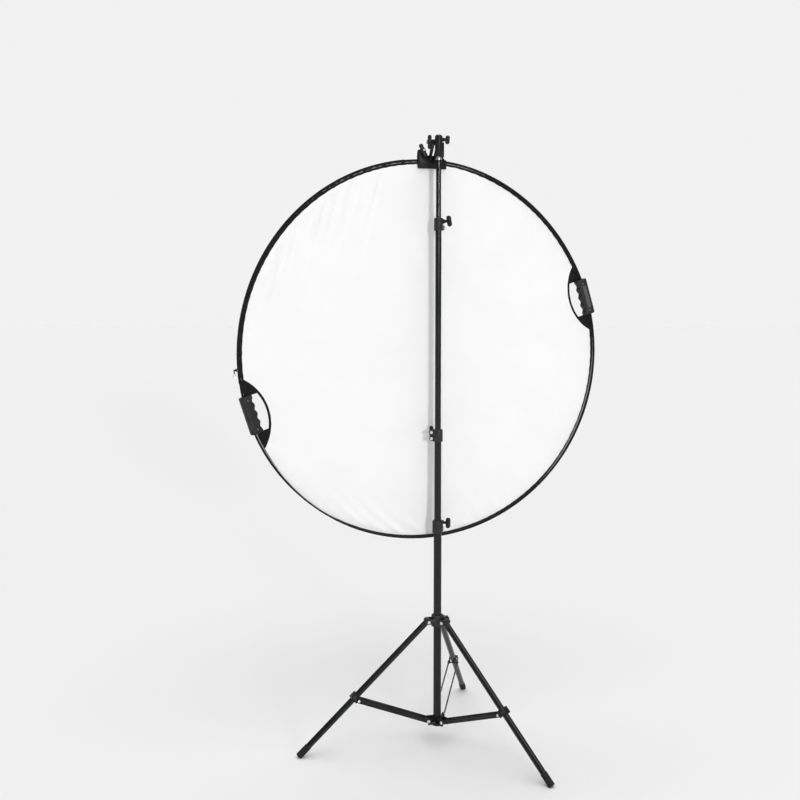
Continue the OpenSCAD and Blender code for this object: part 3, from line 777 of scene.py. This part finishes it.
def grip_panel(side, face):
    """Smooth raised panel on the face of a grip."""
    outline = superellipse(0.0062, 0.037, 7, 48)
    rings = []
    for inset, height in ((0, -1.5), (0, 0.35), (0.5, 0.75), (1.6, 0.85)):
        rings.append([on_grip(side, 0.5865 + x * (1 - inset * MM / 0.0062), y * (1 - inset * MM / 0.037),
                              face * (GRIP_HALF + height * MM)) for x, y in outline])
    return loft(rings)


for side, hand in ((1, "right"), (-1, "left")):
    for face, where in ((1, "front"), (-1, "back")):
        half = piece(f"grip_{hand}_{where}_half", *grip_half(side, face), "reflector", "grip_dark")
        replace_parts(half, f"grip_{hand}_{where}")
        # The right grip's panel gets the painted sheen material, the left one the plain grip moulding.
        piece(f"grip_{hand}_{where}_panel", *grip_panel(side, face), "reflector", "grip_dark",
              RIGHT_GRIP_PAINTED_SHEEN if side > 0 else MATS["grip_dark"])


GRIP_SCREW_AT = 0.584
GRIP_SCREW_T = 0.045


def grip_screw(side, end, face):
    """Domed screw head with a hexagonal recess, let into the face of a grip."""
    head = revolve([(2.6 * MM, -0.6 * MM), (2.6 * MM, 0.1 * MM), (2.3 * MM, 0.5 * MM), (1.5 * MM, 0.72 * MM),
                    (1.5 * MM, -0.4 * MM), (0.05 * MM, -0.4 * MM)], 30)
    rho, t = GRIP_SCREW_AT, end * GRIP_SCREW_T
    origin = on_grip(side, rho, t, face * GRIP_HALF)
    outward = on_grip(side, rho, t, face * (GRIP_HALF + 0.01)) - origin
    return place(head, frame_matrix(origin, on_grip(side, rho, t + 0.01, face * GRIP_HALF) - origin, outward))


screws = piece("grip_screw_heads", *merge([grip_screw(s, e, f) for s in (1, -1) for e in (1, -1) for f in (1, -1)]),
               "reflector", "bright_steel", DULL_STEEL)
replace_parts(screws, "grip_screws")


# ---------------------------------------------------------------- zip

def zip_strip():
    """Woven tape over the outer edge of the sleeve, with two rows of teeth."""
    tape_low, tape_high = math.radians(97), math.radians(188)
    steps = 240
    tape = []
    for i in range(steps + 1):
        theta = tape_low + (tape_high - tape_low) * i / steps
        ring = []
        for x, y in ((-0.6, -2.7), (0.35, -2.2), (0.6, 0), (0.35, 2.2), (-0.6, 2.7), (-2.0, 0)):
            tau = twist(theta)
            r = rim_r(theta) + SLEEVE_OUT * math.cos(tau) + x * MM + 0.5 * MM * math.sin(tau)
            ring.append(disc_polar(r, theta, SLEEVE_OUT * math.sin(tau) * 0.6 + y * MM))
        tape.append(ring)
    parts = [loft(tape)]
    teeth = []
    count = int(HOOP_R * (tape_high - tape_low) / 0.0026)
    for i in range(count):
        theta = tape_low + (tape_high - tape_low) * (i + 0.5) / count
        tau = twist(theta)
        r = rim_r(theta) + SLEEVE_OUT * math.cos(tau) + 0.5 * MM * math.sin(tau) + 0.55 * MM
        centre = disc_polar(r, theta, SLEEVE_OUT * math.sin(tau) * 0.6 + (0.5 * MM if i % 2 else -0.5 * MM))
        outward = disc_polar(r + 0.01, theta) - disc_polar(r, theta)
        m = frame_matrix(centre, disc_polar(r, theta + 0.001) - disc_polar(r, theta), outward)
        teeth.append(place(block((-0.8 * MM, -1.2 * MM, -0.3 * MM), (0.8 * MM, 1.2 * MM, 0.35 * MM)), m))
    return merge(parts), merge(teeth)


tape, teeth = zip_strip()
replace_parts(piece("zip_cloth_tape", *tape, "reflector", "binding_black"), "zip_tape")
piece("zip_teeth", *teeth, "reflector", "binding_black", MATS["knob_black"], shade=False)


def zip_matrix():
    """Frame on the zip slider: x out along the radius, y along the zip, z to the front."""
    pull = joints["zip_pull_swing"]
    outward = Vector(pull["pos_m"]) - CENTRE
    return frame_matrix(Vector(pull["pos_m"]), outward, FRONT)


def slider_shape():
    """Waisted slider body with its bridge, from just outside the teeth to the pull's pin."""
    rings = []
    sections = ((-7.9, 5.2, 3.5), (-7.7, 5.9, 4.0), (-5.6, 6.0, 4.0), (-4.4, 5.6, 3.7), (-4.1, 5.0, 3.2))
    for x, half_y, half_z in sections:
        rings.append([(x * MM, y * (1 - 0.22 * (y / (half_y * MM)) ** 2), z)
                      for y, z in superellipse(half_y * MM, half_z * MM, 3.4, 32)])
    parts = [loft(rings)]
    for s in (-1, 1):
        cheek = [[(x * MM, y, s * 2.6 * MM + z) for y, z in superellipse(w * MM, 0.8 * MM, 3, 16)]
                 for x, w in ((-4.8, 2.4), (-2.6, 2.1), (0.4, 1.8), (1.5, 1.1))]
        parts.append(loft(cheek))
    pin = revolve([(0.9 * MM, -3.4 * MM), (0.9 * MM, 3.4 * MM)], 20)
    return merge(parts + [pin])


def pull_strip():
    """Flat tab from the pin down to its ring."""
    rings = [[(x, y, z) for y, z in superellipse(w, 0.95 * MM, 3, 16)]
             for x, w in ((-2.2 * MM, 1.5 * MM), (-1 * MM, 2.2 * MM), (2 * MM, 2.0 * MM), (12.2 * MM, 1.5 * MM))]
    return loft(rings)


def pull_ring():
    """Bright ring at the end of the tab."""
    rings = []
    for i in range(49):
        t = 2 * math.pi * i / 48
        rings.append([((17 + (3.9 + u * 1000) * math.cos(t)) * MM, (3.9 + u * 1000) * math.sin(t) * MM, z)
                      for u, z in superellipse(1.0 * MM, 0.95 * MM, 2.2, 14)])
    return loft(rings, capped=False)


zip_m = zip_matrix()
hang_m = frame_matrix(Vector(joints["zip_pull_swing"]["pos_m"]), -UP, FRONT)
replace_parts(piece("zip_slider_body", *place(slider_shape(), zip_m), "zip_slider", "strip_black"), "zip_slider")
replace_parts(piece("zip_pull_tab", *place(pull_strip(), hang_m), "zip_pull", "bright_steel", MATS["knob_black"]),
            "zip_pull")
piece("zip_pull_ring", *place(pull_ring(), hang_m), "zip_pull", "bright_steel")


# ---------------------------------------------------------------- knobs

def tee_shape(stem_from, stem_len, head_l, head_w, head_t):
    """Tee knob along +x: a coned stem and a rounded bar along z, waisted in the middle."""
    stem = revolve([(5 * MM, 0), (5 * MM, 1.2 * MM), (4.3 * MM, stem_len * 0.7), (5 * MM, stem_len + head_t / 2)], 32)
    stem = place(stem, frame_matrix((stem_from, 0, 0), (0, 0, 1), (1, 0, 0)))
    rings = []
    steps = 30
    for i in range(steps + 1):
        u = math.sin((-1 + 2 * i / steps) * math.pi / 2)
        end = math.sqrt(max(1 - abs(u) ** 5, 0.0)) * 0.97 + 0.03
        waist = 0.84 + 0.16 * smooth(abs(u) * 1.6)
        rings.append([(stem_from + stem_len + head_t / 2 + x * end, y * end * waist, u * head_l / 2)
                      for x, y in superellipse(head_t / 2, head_w / 2, 3.0, 24)])
    return merge([stem, loft(rings)])


def wing_shape(hub_from, hub_len, hub_r, reach, half_wide=6.4 * MM):
    """Two-winged knob along +x, its wings along z."""
    hub = revolve([(hub_r * 0.86, 0), (hub_r, 1 * MM), (hub_r * 0.94, hub_len * 0.6), (hub_r * 0.8, hub_len)], 36)
    hub = place(hub, frame_matrix((hub_from, 0, 0), (0, 0, 1), (1, 0, 0)))
    rings = []
    steps = 36
    for i in range(steps + 1):
        u = math.sin((-1 + 2 * i / steps) * math.pi / 2)
        end = math.sqrt(max(1 - abs(u) ** 6, 0.0)) * 0.96 + 0.04
        wide = half_wide - 1.8 * MM * math.exp(-((abs(u) - 0.45) / 0.2) ** 2)
        thick = hub_len * (0.33 + 0.08 * abs(u))
        rings.append([(hub_from + hub_len * 0.5 + x * end, y * end, u * reach)
                      for x, y in superellipse(thick, wide, 2.6, 20)])
    return merge([hub, loft(rings)])


def fit_knob(joint_name, node, shape, x_offset, tee_along, turn=0.0):
    """Puts a knob shape on its joint's axis; x_offset is from the joint's point back to the shape's zero."""
    joint = joints[joint_name]
    axis = Vector(joint["axis"]).normalized()
    origin = Vector(joint["pos_m"]) + axis * x_offset
    m = frame_matrix(origin, axis, Vector(tee_along)) @ Matrix.Rotation(turn, 4, "X")
    obj = piece(node + "_moulded", *place(shape, m), body_of_node[node], slot_of_node[node])
    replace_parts(obj, node)
    return m


def bolt_end(name, m, x0, x1, r, body):
    """Bright end of the screw that shows through a knob."""
    profile = [(r * 0.8, 0), (r, 0.3 * MM), (r, x1 - x0 - 0.5 * MM), (r * 0.7, x1 - x0)]
    end = place(revolve(profile, 28), m @ frame_matrix((x0, 0, 0), (0, 0, 1), (1, 0, 0)))
    piece(name, *end, body, "bright_steel")


SIDE = 6.6 * MM
for number, tilt in ((1, 0), (2, 0), (3, 20)):
    name = f"collar_{number}_knob"
    m = fit_knob(f"collar_{number}_turn", name, tee_shape(SIDE + 0.3 * MM, 12 * MM, 34 * MM, 14 * MM, 14 * MM),
                 -20 * MM, (0, 0, 1), math.radians(tilt))
    bolt_end(f"collar_{number}_screw", m, -SIDE - 4 * MM, SIDE + 6 * MM, 2.8 * MM, name)
lock_m = fit_knob("leg_lock_turn", "leg_lock_knob", tee_shape(23.3 * MM, 5 * MM, 25 * MM, 11 * MM, 9 * MM),
                  -30 * MM, Vector(joints["leg_lock_turn"]["axis"]).cross(UP))
bolt_end("leg_lock_screw", lock_m, 12.9 * MM, 26 * MM, 2.8 * MM, "leg_lock_knob")
socket_m = fit_knob("socket_knob_turn", "socket_knob", tee_shape(17.3 * MM, 5 * MM, 26 * MM, 12 * MM, 13 * MM),
                    -25 * MM, UP, math.radians(12))
bolt_end("socket_screw", socket_m, 8 * MM, 20 * MM, 2.8 * MM, "socket_knob")
fit_knob("tilt_knob_turn", "tilt_knob", wing_shape(12.2 * MM, 16 * MM, 7.5 * MM, 21.5 * MM), -17 * MM, UP)
fit_knob("jaw_knob_turn", "jaw_knob", wing_shape(0, 11 * MM, 7.5 * MM, 21 * MM, 7.8 * MM), -5 * MM, UP,
         math.radians(28))


# ---------------------------------------------------------------- feet, braces and softened castings

# The feet's distance from the column's axis, and a leg's length from its pin to the end of its cap.
FOOT_RADIUS = 0.448
LEG_REACH = 0.571


def rubber_foot(i):
    """Ribbed cap on the end of a leg, worn level where it meets the floor."""
    joint = joints[f"leg_{i}_spread"]
    pivot = Vector(joint["pos_m"])
    outward = Vector((pivot.x, pivot.y, 0)).normalized()
    angle = math.asin(min((FOOT_RADIUS - pivot.xy.length) / LEG_REACH, 1))
    along = outward * math.sin(angle) - UP * math.cos(angle)
    profile = [(0.5, 571), (9.4, 571), (10.4, 570.2), (10.8, 568.5)]
    for k in range(5):
        x = 562 - 6.5 * k
        profile += [(10.8, x + 2.4), (10.3, x + 1.6), (10.3, x - 0.4), (10.8, x - 1.2)]
    profile += [(10.7, 530.5), (10.1, 529.2), (9.55, 529)]
    part = revolve([(r * MM, -d * MM) for r, d in reversed(profile)], 56)
    m = frame_matrix(pivot, Vector(joint["axis"]).cross(-along), -along)
    verts, faces = place(part, m)
    verts = [Vector((v.x, v.y, max(v.z, 0.0))) for v in verts]
    obj = piece(f"leg_{i}_cap", verts, faces, f"leg_{i}", "rubber_black")
    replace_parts(obj, f"leg_foot_{i}")


def rivet_heads(i):
    """Bright domes on the outer ends of a pair of brace strips."""
    joint = joints[f"brace_{i}_swing"]
    pivot = Vector(joint["pos_m"])
    across = Vector(joint["axis"]).normalized()
    co = [v.co - across * (v.co - pivot).dot(across) for v in nodes[f"brace_{i}"].data.vertices]
    far = max(co, key=lambda p: (p - pivot).length)
    direction = (far - pivot).normalized()
    end = pivot + direction * ((far - pivot).length - 6.5 * MM)
    parts = []
    for s in (-1, 1):
        m = frame_matrix(end + across * s * 17.9 * MM, direction, across * s)
        dome = revolve([(4.6 * MM, 0), (4.4 * MM, 0.6 * MM), (3.2 * MM, 1.3 * MM), (0.4 * MM, 1.6 * MM)], 28)
        parts.append(place(dome, m))
    piece(f"brace_{i}_rivets", *merge(parts), f"brace_{i}", "bright_steel")


for i in (1, 2, 3):
    rubber_foot(i)
    rivet_heads(i)
    soften(f"brace_{i}", 0.0003)
    soften(f"leg_bracket_{i}", 0.0004)
    soften(f"leg_head_{i}", 0.0006)
    soften(f"collar_{i}", 0.0008)
for name in ("hub", "leg_collar", "socket", "tilt_arm", "jaw_back"):
    soften(name, 0.0008)
